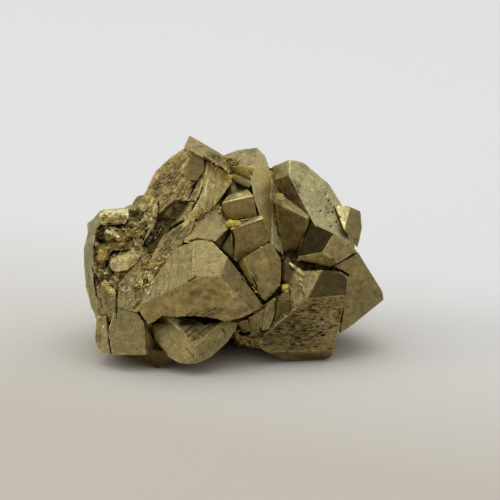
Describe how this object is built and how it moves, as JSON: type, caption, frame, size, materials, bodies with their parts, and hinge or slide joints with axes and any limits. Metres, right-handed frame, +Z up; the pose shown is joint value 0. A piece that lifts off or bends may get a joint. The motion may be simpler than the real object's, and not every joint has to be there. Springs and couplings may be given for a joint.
{
  "type": "pyrite specimen",
  "caption": "Intergrown cluster of brassy pyrite crystals with flat, finely streaked faces, ledges, pits and a rough iron-stained hollow, resting on its lowest crystals.",
  "frame": {"origin": "middle of the bounding box in plan, on the plane that the lowest crystals rest on", "axes": "+Z up from the resting plane, +X to the right of the front, +Y from the front to the back"},
  "size_m": [0.0752, 0.0602, 0.0533],
  "materials": {
    "pyrite": "dull brassy metallic crystal faces with fine growth streaks and brown iron staining"
  },
  "bodies": {
    "root": {"pyrite_cluster": "pyrite"}
  },
  "joints": []
}
